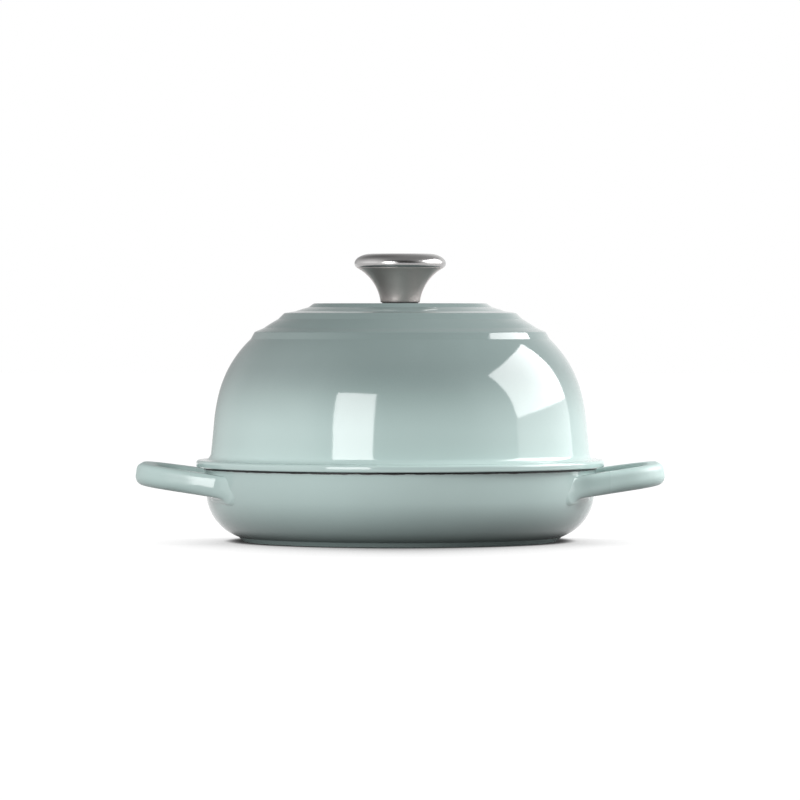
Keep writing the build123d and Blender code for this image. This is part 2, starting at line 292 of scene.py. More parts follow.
@dataclass
class Outline:
    """Half section of a turned piece, as a row of corners."""

    corners: list[Corner] = field(default_factory=list)
    closed: bool = False
    degrees_per_step: float = 9.0
    deepest_coat: float = 10.0

    def line(self, radius: float, height: float, fillet: float = 0.0, gloss: Gloss = Gloss.COLOURED) -> Outline:
        """Run straight on to a corner, and give the outline back."""
        self.corners.append(Corner(radius, height, fillet, gloss))
        return self

    def arc(self, centre: Point, radius: float, start: float, end: float, step: float,
            gloss: Gloss = Gloss.COLOURED) -> Outline:
        """Run along an arc.

        Args:
            centre: Its centre, as radius and height.
            radius: Its radius.
            start: First angle, in degrees from the horizontal.
            end: Last angle.
            step: Longest chord between two points.
            gloss: The enamel on it.

        Returns:
            The outline.
        """
        count = max(2, math.ceil(abs(math.radians(end - start)) * radius / step))
        for index in range(count + 1):
            spot = polar(centre, radius, start + (end - start) * index / count)
            self.line(*spot, gloss=gloss)
        return self

    def points(self) -> list[OutlinePoint]:
        """Round the corners.

        Returns:
            The finished outline. A closed one ends where it starts.
        """
        spots: list[Point] = []
        glosses: list[Gloss] = []
        count = len(self.corners)
        for index, corner in enumerate(self.corners):
            here = (corner.radius, corner.height)
            if corner.fillet > 0.0:
                before = self.corners[index - 1]
                after = self.corners[(index + 1) % count]
                arc = self._fillet((before.radius, before.height), here, (after.radius, after.height), corner.fillet)
            else:
                arc = [here]
            spots += arc
            glosses += [corner.gloss] * len(arc)
        if self.closed:
            spots.append(spots[0])
            glosses.append(glosses[0])
        return self._coated(spots, glosses)

    def _fillet(self, before: Point, here: Point, after: Point, radius: float) -> list[Point]:
        """Round one corner.

        Args:
            before: The corner before it.
            here: The corner itself.
            after: The corner after it.
            radius: Radius of the rounding.

        Returns:
            Points along the rounding.
        """
        back = Vector(before) - Vector(here)
        on = Vector(after) - Vector(here)
        back.normalize()
        on.normalize()
        half = back.angle(on) / 2.0
        reach = radius / math.tan(half)
        centre = Vector(here) + (back + on).normalized() * radius / math.sin(half)
        first = Vector(here) + back * reach - centre
        last = Vector(here) + on * reach - centre
        sweep = first.angle_signed(last)
        steps = max(3, math.ceil(abs(math.degrees(sweep)) / self.degrees_per_step))
        start = math.atan2(first.y, first.x)
        return [(centre.x + radius * math.cos(start - sweep * k / steps),
                 centre.y + radius * math.sin(start - sweep * k / steps)) for k in range(steps + 1)]

    def _coated(self, spots: list[Point], glosses: list[Gloss]) -> list[OutlinePoint]:
        """Add to each point how far inside the coloured enamel it lies.

        Args:
            spots: The points.
            glosses: The enamel on each of them.

        Returns:
            The outline's points. The distance is negative on the black enamel.
        """
        along = [0.0]
        for one, two in zip(spots, spots[1:]):
            along.append(along[-1] + math.dist(one, two))
        edges = [(along[k] + along[k + 1]) / 2 for k in range(len(spots) - 1) if glosses[k] is not glosses[k + 1]]
        row = []
        for spot, place, gloss in zip(spots, along, glosses):
            distance = min([abs(place - edge) for edge in edges], default=self.deepest_coat)
            distance = min(distance, self.deepest_coat)
            row.append(OutlinePoint(*spot, distance if gloss is Gloss.COLOURED else -distance))
        return row


def polar(centre: Point, radius: float, angle: float) -> Point:
    """Point at an angle in degrees round a centre."""
    return (centre[0] + radius * math.cos(math.radians(angle)), centre[1] + radius * math.sin(math.radians(angle)))


def arc_centre(start: Point, end: Point, radius: float) -> Point:
    """Centre of an arc with its hollow side to the right.

    Args:
        start: Where the arc starts.
        end: Where it ends.
        radius: Its radius.

    Returns:
        The centre.
    """
    across = (end[0] - start[0], end[1] - start[1])
    chord = math.hypot(*across)
    rise = math.sqrt(radius ** 2 - (chord / 2) ** 2)
    return ((start[0] + end[0]) / 2 + rise * across[1] / chord, (start[1] + end[1]) / 2 - rise * across[0] / chord)


def add_object(name: str, mesh: bpy.types.Mesh) -> bpy.types.Object:
    """Put a mesh into the scene at the origin.

    Args:
        name: The object's name.
        mesh: Its mesh.

    Returns:
        The object.
    """
    made = bpy.data.objects.new(name, mesh)
    bpy.context.scene.collection.objects.link(made)
    return made


def baked(source: bpy.types.Object, name: str) -> bpy.types.Object:
    """Turn an object with live modifiers into a plain mesh.

    Args:
        source: The object, which is removed.
        name: Name of the plain piece.

    Returns:
        The plain piece.
    """
    graph = bpy.context.evaluated_depsgraph_get()
    mesh = bpy.data.meshes.new_from_object(source.evaluated_get(graph), preserve_all_data_layers=True, depsgraph=graph)
    mesh.name = name
    bpy.data.objects.remove(source)
    return add_object(name, mesh)


class GeometryTree:
    """A Geometry Nodes tree with named inputs."""

    def __init__(self, name: str, inputs: dict[str, str]) -> None:
        """Make the tree and its sockets.

        Args:
            name: The tree's name.
            inputs: Name and socket type of each input, beside Geometry and Material.
        """
        self.tree = bpy.data.node_groups.new(name, "GeometryNodeTree")
        self.bench = Bench(self.tree)
        sockets = {"Geometry": "NodeSocketGeometry", **inputs, "Material": "NodeSocketMaterial"}
        self.identifiers = {title: self.tree.interface.new_socket(title, in_out="INPUT", socket_type=kind).identifier
                            for title, kind in sockets.items()}
        self.tree.interface.new_socket("Geometry", in_out="OUTPUT", socket_type="NodeSocketGeometry")
        self.entry = self.bench.node("NodeGroupInput")

    def given(self, title: str) -> Field:
        """One named input."""
        return self.bench.output(self.entry, title)

    def close(self, geometry: Field) -> None:
        """End the tree: realize instances and set the material.

        Args:
            geometry: What the tree has made.
        """
        real = self.bench.make("GeometryNodeRealizeInstances", {}, {"Geometry": geometry})
        dressed = self.bench.make("GeometryNodeSetMaterial", {}, {
            "Geometry": real, "Material": self.given("Material")})
        self.bench.node("NodeGroupOutput", {}, {"Geometry": dressed})

    def apply(self, target: bpy.types.Object, name: str, values: dict[str, Any]) -> bpy.types.Object:
        """Run the tree on an object.

        Args:
            target: What the tree starts from. It is used up.
            name: Name of the result.
            values: The named inputs.

        Returns:
            The result as a plain mesh.
        """
        modifier = target.modifiers.new(self.tree.name, "NODES")
        modifier.node_group = self.tree
        for title, value in values.items():
            modifier[self.identifiers[title]] = value
        target.update_tag()
        return baked(target, name)


class TurnedTree(GeometryTree):
    """Turns an outline about Z and gives the surface the faint unevenness of a casting."""

    WELD_DISTANCE = 0.004
    WAVE_SIZE = 30.0
    WAVE_SEED = 4.0

    def __init__(self) -> None:
        """Build the tree."""
        super().__init__("Turned", {
            "Segments": "NodeSocketInt", "Weld Distance": "NodeSocketFloat", "Cast-on Part": "NodeSocketObject",
            "Unevenness": "NodeSocketFloat", "Uneven Size": "NodeSocketFloat", "Seed": "NodeSocketFloat"})
        bench = self.bench
        outline = self.given("Geometry")
        segments = self.given("Segments")
        rows = bench.make("GeometryNodeAttributeDomainSize", {"component": "MESH"}, {"Geometry": outline})
        sheet = bench.make("GeometryNodeMeshGrid", {}, {
            "Vertices X": segments + 1, "Vertices Y": rows})
        number = bench.make("GeometryNodeInputIndex")
        row = bench.make("FunctionNodeIntegerMath", {"operation": "MODULO"}, {0: number, 1: rows})
        turn = bench.make("FunctionNodeIntegerMath", {"operation": "DIVIDE_FLOOR"}, {0: number, 1: rows})
        angle = turn * math.tau / segments
        place = bench.make("GeometryNodeInputPosition")
        spot = bench.make("GeometryNodeSampleIndex", {"data_type": "FLOAT_VECTOR"}, {
            "Geometry": outline, "Value": place, "Index": row})
        parts = bench.node("ShaderNodeSeparateXYZ", {}, {0: spot})
        radius = bench.output(parts, "X")
        turned = bench.make("ShaderNodeCombineXYZ", {}, {
            "X": radius * bench.sum("COSINE", angle), "Y": radius * bench.sum("SINE", angle),
            "Z": bench.output(parts, "Z")})
        depth = bench.make("GeometryNodeInputNamedAttribute", {"data_type": "FLOAT"}, {"Name": "coat"})
        coat = bench.make("GeometryNodeSampleIndex", {"data_type": "FLOAT"}, {
            "Geometry": outline, "Value": depth, "Index": row})
        coated = bench.make("GeometryNodeStoreNamedAttribute", {"data_type": "FLOAT", "domain": "POINT"}, {
            "Geometry": sheet, "Name": "coat", "Value": coat})
        solid = bench.make("GeometryNodeSetPosition", {}, {"Geometry": coated, "Position": turned})
        welded = bench.make("GeometryNodeMergeByDistance", {}, {
            "Geometry": solid, "Distance": self.given("Weld Distance")})
        extra = bench.make("GeometryNodeObjectInfo", {}, {"Object": self.given("Cast-on Part")}, "Geometry")
        whole = bench.node("GeometryNodeJoinGeometry")
        for geometry in (extra, welded):
            self.tree.links.new(geometry.socket, whole.inputs[0])
        wave = bench.make("ShaderNodeTexNoise", {"noise_dimensions": "4D"}, {
            "Vector": place, "W": self.given("Seed"), "Scale": 1.0 / self.given("Uneven Size"), "Detail": 1.0})
        normal = bench.make("GeometryNodeInputNormal")
        push = bench.make("ShaderNodeVectorMath", {"operation": "SCALE"}, {
            "Vector": normal, "Scale": (wave - 0.5) * self.given("Unevenness")})
        uneven = bench.make("GeometryNodeSetPosition", {}, {"Geometry": bench.output(whole), "Offset": push})
        self.close(bench.make("GeometryNodeSetShadeSmooth", {}, {"Geometry": uneven}))

    def turn(self, name: str, outline: Outline, material: bpy.types.Material, segments: int,
             unevenness: float = 0.0, cast_on: bpy.types.Object | None = None) -> bpy.types.Object:
        """Turn an outline into a piece.

        Args:
            name: Name of the piece.
            outline: Its half section, in millimetres, running anticlockwise round the metal.
            material: Its material.
            segments: Faces round the piece.
            unevenness: Height of the casting's waves, in millimetres.
            cast_on: A mesh that is one piece with it, which is used up.

        Returns:
            The piece as a plain mesh.
        """
        points = outline.points()
        mesh = bpy.data.meshes.new(name)
        mesh.from_pydata([(p.radius * MM, 0.0, p.height * MM) for p in points], [], [])
        coat = mesh.attributes.new("coat", "FLOAT", "POINT")
        coat.data.foreach_set("value", [p.coat for p in points])
        values = {"Segments": segments, "Weld Distance": self.WELD_DISTANCE * MM, "Unevenness": unevenness * MM,
                  "Uneven Size": self.WAVE_SIZE * MM, "Seed": self.WAVE_SEED, "Material": material}
        if cast_on:
            values["Cast-on Part"] = cast_on
        piece = self.apply(add_object(name, mesh), name, values)
        if cast_on:
            bpy.data.objects.remove(cast_on)
        return piece


class ThreadTree(GeometryTree):
    """Winds a thread's ridge round Z."""

    def __init__(self) -> None:
        """Build the tree."""
        super().__init__("Thread", {
            "Turns": "NodeSocketFloat", "Radius": "NodeSocketFloat", "Length": "NodeSocketFloat",
            "Foot": "NodeSocketFloat", "Ridge": "NodeSocketFloat", "Steps per Turn": "NodeSocketInt"})
        bench = self.bench
        coil = bench.make("GeometryNodeCurveSpiral", {}, {
            "Resolution": self.given("Steps per Turn"), "Rotations": self.given("Turns"),
            "Start Radius": self.given("Radius"), "End Radius": self.given("Radius"),
            "Height": self.given("Length"), "Reverse": True})
        upright = bench.make("GeometryNodeSetCurveNormal", {"mode": "Z_UP"}, {"Curve": coil})
        section = bench.make("GeometryNodeCurvePrimitiveCircle", {}, {
            "Resolution": 4, "Radius": self.given("Ridge")})
        ridge = bench.make("GeometryNodeCurveToMesh", {}, {
            "Curve": upright, "Profile Curve": section, "Fill Caps": True})
        lift = bench.make("ShaderNodeCombineXYZ", {}, {"Z": self.given("Foot")})
        self.close(bench.make("GeometryNodeTransform", {}, {"Geometry": ridge, "Translation": lift}))


def new_material(name: str) -> tuple[bpy.types.Material, Bench]:
    """Make an empty material.

    Args:
        name: Its name.

    Returns:
        The material, and the bench that its nodes are made on.
    """
    material = bpy.data.materials.new(name)
    material.use_nodes = True
    return material, Bench(material.node_tree)


@dataclass(frozen=True)
class Finish:
    """A finish that is worked out from the place on the object. Sizes are in millimetres."""

    name: str

    def surface(self, bench: Bench, where: Field) -> dict[str, Any]:
        """Inputs of the finish's shader, which each kind of finish works out for itself."""
        raise NotImplementedError(self.name)

    def relief(self, bench: Bench, depth: float, height: Field) -> Field:
        """The surface's direction, bent by a relief of a depth."""
        return bench.make("ShaderNodeBump", {}, {"Strength": 1.0, "Distance": depth * MM, "Height": height})

    def build(self) -> bpy.types.Material:
        """Make the material.

        Returns:
            The material.
        """
        material, bench = new_material(self.name)
        where = bench.make("ShaderNodeTexCoord", {}, {}, "Object")
        shader = bench.make("ShaderNodeBsdfPrincipled", {}, self.surface(bench, where))
        bench.node("ShaderNodeOutputMaterial", {}, {"Surface": shader})
        LOG.info("%s: made", self.name)
        return material


@dataclass(frozen=True)
class Enamel(Finish):
    """Vitreous enamel: glossy colour outside, satin black on the rims and inside."""

    light: Colour = (0.455, 0.578, 0.558)
    # Painted shade: the colour that the coloured enamel darkens to towards the crown and the pan's base.
    painted_shade: Colour = (0.215, 0.277, 0.27)
    thin: Colour = (0.62, 0.70, 0.68)
    black: Colour = (0.016, 0.016, 0.017)
    gloss: float = 0.07
    black_gloss: float = 0.42
    handle_dulling: float = 0.36
    refraction: float = 1.52
    # Heights where the painted shade on the crown starts and is full, and below which it deepens the pan's base.
    painted_shade_above: float = 66.0
    painted_shade_full: float = 110.0
    base_shade_height: float = 46.0
    base_painted_shade: float = 0.72
    cloud_size: float = 30.0
    cloud_depth: float = 0.12
    fleck_size: float = 0.7
    fleck_depth: float = 0.08
    handle_from: float = 121.0
    handle_full: float = 132.0
    wander_size: float = 7.0
    wander: float = 1.1
    # Distances into the coloured enamel where it starts and is full, and where its thin edge ends.
    border: Point = (-0.10, 0.12)
    thin_fade: Point = (0.2, 0.9)
    thin_share: float = 0.35
    relief_depth: float = 0.022
    peel_size: float = 4.8
    peel_height: float = 0.5
    swell_size: float = 16.0
    swell_height: float = 2.0
    handle_swell: float = 16.0
    grain_size: float = 0.5
    grain_height: float = 0.9
    coat_height: float = 3.0

    def surface(self, bench: Bench, where: Field) -> dict[str, Any]:
        """Work out the enamel. The "coat" attribute tells the coloured from the black.

        Args:
            bench: The material's bench.
            where: The place on the object.

        Returns:
            The shader's inputs.
        """
        place = bench.node("ShaderNodeSeparateXYZ", {}, {0: where})
        handle = bench.step(bench.sum("ABSOLUTE", bench.output(place, "X")), self.handle_from * MM,
                            self.handle_full * MM)
        depth = bench.make("ShaderNodeAttribute", {"attribute_name": "coat"}, {}, "Fac")
        depth = depth + (bench.noise(where, self.wander_size * MM, 3.0) - 0.5) * self.wander
        coloured = bench.step(depth, *self.border)
        edge = coloured - bench.step(depth, *self.thin_fade)
        shaded_tone = self._tone_with_painted_shade(bench, where, bench.output(place, "Z"))
        thinned = bench.mix_colours(edge * self.thin_share, shaded_tone, self.thin)
        height = self._height(bench, where, coloured, handle)
        return {
            "Base Color": bench.mix_colours(coloured, self.black, thinned),
            "Roughness": self.black_gloss + coloured * (self.gloss - self.black_gloss) + handle * self.handle_dulling,
            "Normal": self.relief(bench, self.relief_depth, height),
            "IOR": self.refraction}

    def _tone_with_painted_shade(self, bench: Bench, where: Field, height: Field) -> Field:
        """The coloured enamel, with painted shade that darkens it towards the crown and the pan's base.

        Args:
            bench: The material's bench.
            where: The place on the object.
            height: Its height, in metres.

        Returns:
            The colour.
        """
        height = height / MM
        # Painted shade, darker towards the crown and towards the pan's base.
        crown = bench.step(height, self.painted_shade_above, self.painted_shade_full)
        base = (1.0 - bench.step(height, 0.0, self.base_shade_height)) * self.base_painted_shade
        cloud = (bench.noise(where, self.cloud_size * MM) - 0.5) * self.cloud_depth
        fleck = (bench.noise(where, self.fleck_size * MM, 1.0) - 0.5) * self.fleck_depth
        return bench.mix_colours(bench.clamped(crown + base + cloud + fleck), self.light, self.painted_shade)

    def _height(self, bench: Bench, where: Field, coloured: Field, handle: Field) -> Field:
        """Orange peel, the grain of the black enamel and the step between the two.

        Args:
            bench: The material's bench.
            where: The place on the object.
            coloured: 1 on the coloured enamel and 0 on the black.
            handle: 1 on the handles, which flowed less evenly.

        Returns:
            The height, as a multiple of the relief's depth.
        """
        peel = bench.noise(where, self.peel_size * MM, 2.0, 0.4)
        swell = bench.noise(where, self.swell_size * MM, 1.0)
        grain = bench.noise(where, self.grain_size * MM)
        glossy = (peel * self.peel_height + swell * self.swell_height + self.coat_height) * coloured
        return glossy + grain * (1.0 - coloured) * self.grain_height + swell * handle * self.handle_swell


@dataclass(frozen=True)
class SpunSteel(Finish):
    """Stainless steel with the fine rings of spinning and brushing."""

    # Warm tint, painted to offset the teal that the steel reflects from the enamel.
    colour: Colour = (0.68, 0.615, 0.60)
    roughness: float = 0.38
    darkest: float = 0.88
    lightest: float = 1.1
    ring_size: float = 0.16
    ring_depth: float = 0.006
    ring_gloss: float = 0.08
    ring_stretch: tuple[float, float, float] = (0.06, 0.06, 1.0)
    streak_size: float = 1.2
    streak_shade: float = 0.4
    streak_gloss: float = 0.08
    streak_height: float = 0.5
    streak_stretch: tuple[float, float, float] = (1.0, 1.0, 0.05)
    cloud_size: float = 6.0
    cloud_shade: float = 0.3

    def surface(self, bench: Bench, where: Field) -> dict[str, Any]:
        """Work out the steel.

        Args:
            bench: The material's bench.
            where: The place on the object.

        Returns:
            The shader's inputs.
        """
        rings = bench.noise(bench.stretched(where, self.ring_stretch), self.ring_size * MM)
        streaks = bench.noise(bench.stretched(where, self.streak_stretch), self.streak_size * MM, 3.0)
        cloud = bench.noise(where, self.cloud_size * MM)
        shade = 0.5 + (streaks - 0.5) * self.streak_shade + (cloud - 0.5) * self.cloud_shade
        colour = bench.mix_colours(bench.clamped(shade), tuple(self.darkest * c for c in self.colour),
                                   tuple(min(1.0, self.lightest * c) for c in self.colour))
        roughness = self.roughness + (streaks - 0.5) * self.streak_gloss + (rings - 0.5) * self.ring_gloss
        normal = self.relief(bench, self.ring_depth, rings + streaks * self.streak_height)
        return {"Base Color": colour, "Metallic": 1.0, "Roughness": roughness, "Normal": normal}


@dataclass(frozen=True)
class HeatProofRubber(Finish):
    """Dark seal between the knob and the lid."""

    colour: Colour = (0.045, 0.045, 0.045)
    dust: Colour = (0.11, 0.11, 0.11)
    dust_share: float = 0.4
    dust_size: float = 0.9
    dust_depth: float = 0.03
    roughness: float = 0.75

    def surface(self, bench: Bench, where: Field) -> dict[str, Any]:
        """Work out the rubber.

        Args:
            bench: The material's bench.
            where: The place on the object.

        Returns:
            The shader's inputs.
        """
        dusty = bench.noise(where, self.dust_size * MM, 3.0)
        colour = bench.mix_colours(dusty * self.dust_share, self.colour, self.dust)
        normal = self.relief(bench, self.dust_depth, dusty)
        return {"Base Color": colour, "Roughness": self.roughness, "Normal": normal}


@dataclass
class Pan:
    """Shallow pan with a foot ring, floor ridges and two loop handles, in millimetres."""

    rim_radius: float = 120.5
    height: float = 45.4
    wall: float = 3.8
    draft: float = 5.2
    belly_radius: float = 29.0
    floor: float = 4.0
    rim_outer_round: float = 0.8
    rim_inner_round: float = 0.8
    foot_radius: float = 96.5
    foot_width: float = 14.0
    foot_height: float = 1.2
    foot_lift: float = 0.03
    foot_edge_round: float = 0.4
    foot_root_round: float = 1.0
    ridge_pitch: float = 15.0
    ridge_count: int = 5
    ridge_width: float = 3.6
    ridge_height: float = 0.8
    ridge_steps: int = 8
    bare_rim: float = 1.75
    shoulder_gap: float = 3.0
    edge_spacing: float = 1.6
    chord: float = 1.4
    unevenness: float = 0.05

    @property
    def lean(self) -> float:
        """How much wider the wall gets for each millimetre up."""
        return math.tan(math.radians(self.draft))

    def wall_radius(self, height: float) -> float:
        """Outer radius of the leaning wall at a height."""
        return self.rim_radius - self.lean * (self.height - height)

    def outer_belly(self) -> Point:
        """Centre of the arc that rounds the outside into the base."""
        tangent = self.belly_radius * math.tan(math.radians(45.0 - self.draft / 2.0))
        return (self.wall_radius(self.foot_height) - tangent, self.foot_height + self.belly_radius)

    def foot_shoulder(self) -> Point:
        """Where the foot ring's sloping outside meets the belly.

        Returns:
            The point, as radius and height.
        """
        centre = self.outer_belly()
        across = self.foot_radius - centre[0]
        half = (across - centre[1]) / 2.0
        inside = half ** 2 - (across ** 2 + centre[1] ** 2 - self.belly_radius ** 2) / 2.0
        rise = -half - math.sqrt(inside)
        return (self.foot_radius + rise, rise)

    def outline(self) -> Outline:
        """Half section from the middle of the base, round the rim, to the middle of the floor.

        Returns:
            The outline.
        """
        centre = self.outer_belly()
        shoulder = self.foot_shoulder()
        foot_inner = self.foot_radius - self.foot_width
        shoulder_angle = math.degrees(math.atan2(shoulder[1] - centre[1], shoulder[0] - centre[0]))
        floor_top = self.foot_height + self.floor
        mouth = self.rim_radius - self.wall
        bare = self.height - self.bare_rim
        section = Outline()
        section.line(0.0, self.foot_height)
        section.line(foot_inner - self.foot_height, self.foot_height, self.foot_root_round)
        section.line(foot_inner, self.foot_lift, self.foot_edge_round)
        section.line(self.foot_radius, self.foot_lift, self.foot_edge_round)
        section.line(*shoulder, self.foot_root_round)
        section.arc(centre, self.belly_radius, shoulder_angle + self.shoulder_gap, -self.draft, self.chord)
        section.line(self.wall_radius(bare - self.edge_spacing), bare - self.edge_spacing)
        section.line(self.wall_radius(bare), bare)
        section.line(self.rim_radius, self.height, self.rim_outer_round, Gloss.BLACK)
        section.line(mouth, self.height, self.rim_inner_round, Gloss.BLACK)
        section.line(mouth - self.lean * self.floor * 2.0, self.height - self.floor * 2.0, 0.0, Gloss.BLACK)
        corner = mouth - self.lean * (self.height - floor_top)
        section.line(corner, floor_top, self.belly_radius - self.wall, Gloss.BLACK)
        for ridge in range(self.ridge_count, 0, -1):
            for step in range(self.ridge_steps + 1):
                across = self.ridge_width * (0.5 - step / self.ridge_steps)
                rise = self.ridge_height * (1.0 + math.cos(math.tau * across / self.ridge_width)) / 2.0
                section.line(ridge * self.ridge_pitch + across, floor_top + rise, 0.0, Gloss.BLACK)
        section.line(0.0, floor_top, 0.0, Gloss.BLACK)
        return section


@dataclass
class LoopHandle:
    """Loop handle cast on to the pan, drawn in the plane that it tilts up in, in millimetres."""

    pan: Pan
    projection: float = 40.75
    tip_drop: float = 4.25
    tilt: float = 8.1
    bar_width: float = 11.6
    bar_height: float = 13.5
    top_round: float = 3.8
    under_round: float = 5.6
    tip_half_width: float = 42.0
    spread: float = 15.0
    corner_radius: float = 32.0
    root_radius: float = 26.0
    gap_corner: float = 9.0
    sink: float = 0.12
    flare_above: float = 1.0
    flare_below: float = 3.4
    full_coat: float = 10.0
    # Points along the fairing, the arm, the corner and the front.
    steps: tuple[int, ...] = (12, 10, 14, 5)
    # Points round a corner of the section, and along its level and its upright flats.
    round_steps: int = 6
    flat_steps: tuple[int, int] = (6, 4)

    @property
    def reach(self) -> float:
        """How far the loop reaches from the axis, along its tilted plane."""
        return (self.pan.rim_radius + self.projection) / math.cos(math.radians(self.tilt))

    def root_circle(self) -> float:
        """Radius of the pan's wall where the loop's middle meets it."""
        drop = self.tip_drop + self.projection * math.tan(math.radians(self.tilt))
        return self.pan.wall_radius(self.pan.height - drop)

    def side(self, inset: float, root: float, grows: float) -> list[Vector]:
        """One outline of the loop, from the pan's wall to the middle of the tip.

        Args:
            inset: How far it lies inside the loop's outermost line.
            root: Radius of the fairing into the wall.
            grows: 1 where the fairing lies outside the outline, -1 where it lies inside.

        Returns:
            The points, in the loop's own plane.
        """
        spread = math.radians(self.spread)
        out = Vector((math.sin(spread), math.cos(spread)))
        ahead = Vector((math.cos(spread), -math.sin(spread)))
        line = Vector((self.reach, self.tip_half_width)).dot(out) - inset
        circle = self.root_circle()
        off = line + grows * root
        hub = out * off + ahead * math.sqrt((circle + root) ** 2 - off ** 2)
        bend_radius = self.corner_radius - inset
        tip = self.reach - inset
        bend_across = (line - bend_radius - (tip - bend_radius) * out.x) / out.y
        bend = Vector((tip - bend_radius, bend_across))
        fair_start = (-hub).normalized()
        fair_end = out * -grows
        fairing, arm, corner, front = self.steps
        row = [hub + self._turned(fair_start, fair_end, k / fairing) * root for k in range(fairing)]
        arm_start = hub + fair_end * root
        arm_end = bend + out * bend_radius
        row += [arm_start.lerp(arm_end, k / arm) for k in range(arm)]
        row += [bend + self._turned(out, Vector((1.0, 0.0)), k / corner) * bend_radius for k in range(corner)]
        last = bend + Vector((bend_radius, 0.0))
        row += [last.lerp(Vector((tip, 0.0)), k / front) for k in range(front + 1)]
        return row

    @staticmethod
    def _turned(start: Vector, end: Vector, part: float) -> Vector:
        """Direction part of the way from one unit vector round to another.

        Args:
            start: The first direction.
            end: The other direction.
            part: How far to turn: 0 at start and 1 at end.

        Returns:
            The direction.
        """
        angle = start.angle_signed(end) * part
        return Vector((start.x * math.cos(angle) + start.y * math.sin(angle),
                       start.y * math.cos(angle) - start.x * math.sin(angle)))

    def section(self, width: float) -> list[Point]:
        """Rounded section of the bar.

        Args:
            width: Width of the bar there.

        Returns:
            Points round it: distance across from its inner side, and height about its middle.
        """
        half = self.bar_height / 2.0
        top = min(self.top_round, width / 2.0)
        under = min(self.under_round, width / 2.0)
        corners = [(width - top, half - top, top, 0.0), (top, half - top, top, 90.0),
                   (under, under - half, under, 180.0), (width - under, under - half, under, 270.0)]
        row: list[Point] = []
        for index, (across, height, rounding, start) in enumerate(corners):
            for step in range(self.round_steps + 1):
                row.append(polar((across, height), rounding, start + 90.0 * step / self.round_steps))
            flat = self.flat_steps[index % 2]
            following = corners[(index + 1) % 4]
            end = polar((following[0], following[1]), following[2], following[3])
            row += [(row[-1][0] + (end[0] - row[-1][0]) * k / flat, row[-1][1] + (end[1] - row[-1][1]) * k / flat)
                    for k in range(1, flat)]
        return row

    def mesh(self, mirrored: bool) -> tuple[list[Vector], list[tuple[int, ...]]]:
        """Vertices and faces of one loop.

        Args:
            mirrored: Whether it is the loop on the -X side.

        Returns:
            The vertices in millimetres, and the faces.
        """
        outer = self.side(0.0, self.root_radius, 1.0)
        inner = self.side(self.bar_width, self.gap_corner, -1.0)
        half = [self._ring(i, o, max(0.0, 1.0 - k / self.steps[0])) for k, (i, o) in enumerate(zip(inner, outer))]
        rings = half + [[Vector((p.x, -p.y, p.z)) for p in ring] for ring in reversed(half[:-1])]
        across = -1.0 if mirrored else 1.0
        points = [Vector((across * p.x, p.y, p.z)) for ring in rings for p in ring]
        size = len(half[0])
        faces: list[tuple[int, ...]] = []
        for ring in range(len(rings) - 1):
            for k in range(size):
                a, b = ring * size + k, ring * size + (k + 1) % size
                face = (a, a + size, b + size, b)
                faces.append(face if mirrored else tuple(reversed(face)))
        first = tuple(range(size))
        last = tuple(range((len(rings) - 1) * size, len(rings) * size))
        faces += [first, tuple(reversed(last))] if not mirrored else [tuple(reversed(first)), last]
        return points, faces

    def _ring(self, inner: Vector, outer: Vector, rooted: float) -> Ring:
        """One section of the loop, placed in space.

        Args:
            inner: Its inner end in the loop's plane.
            outer: Its outer end.
            rooted: 1 at the wall and 0 past the fairings.

        Returns:
            The ring's points.
        """
        width = (outer - inner).length
        tilt = math.radians(self.tilt)
        tip_height = self.pan.height - self.tip_drop
        level = tip_height - (self.pan.rim_radius + self.projection - self.bar_width / 2.0) * math.tan(tilt)
        circle = self.root_circle()
        inner_angle, outer_angle = math.atan2(inner.y, inner.x), math.atan2(outer.y, outer.x)
        ring = []
        for across, height in self.section(width):
            part = across / width
            straight = inner.lerp(outer, part)
            radius = inner.length + (outer.length - inner.length) * part
            angle = inner_angle + (outer_angle - inner_angle) * part
            spot = straight.lerp(Vector((radius * math.cos(angle), radius * math.sin(angle))), min(1.0, rooted * 2.0))
            gap = max(0.0, spot.length - circle)
            flare = self.flare_above if height > 0.0 else self.flare_below
            if rooted > 0.0 and gap < flare:
                height += math.copysign(flare - math.sqrt(flare ** 2 - (flare - gap) ** 2), height) * min(
                    1.0, abs(height) / (self.bar_height / 2.0 - self.top_round))
            place = Vector((spot.x * math.cos(tilt) - height * math.sin(tilt), spot.y,
                            level + spot.x * math.sin(tilt) + height * math.cos(tilt)))
            if rooted == 1.0:
                wall = self.pan.wall_radius(place.z) - self.sink
                flat = Vector((place.x, place.y)).normalized() * wall
                place = Vector((flat.x, flat.y, place.z))
            ring.append(place)
        return ring

    def build(self) -> bpy.types.Object:
        """Make both loops.

        Returns:
            The loops as one mesh, to be cast on to the pan.
        """
        points: list[Vector] = []
        faces: list[tuple[int, ...]] = []
        for mirrored in (False, True):
            spots, sides = self.mesh(mirrored)
            faces += [tuple(k + len(points) for k in side) for side in sides]
            points += spots
        mesh = bpy.data.meshes.new("loop_handles")
        mesh.from_pydata([p * MM for p in points], [], faces)
        coat = mesh.attributes.new("coat", "FLOAT", "POINT")
        coat.data.foreach_set("value", [self.full_coat] * len(points))
        return add_object("loop_handles", mesh)


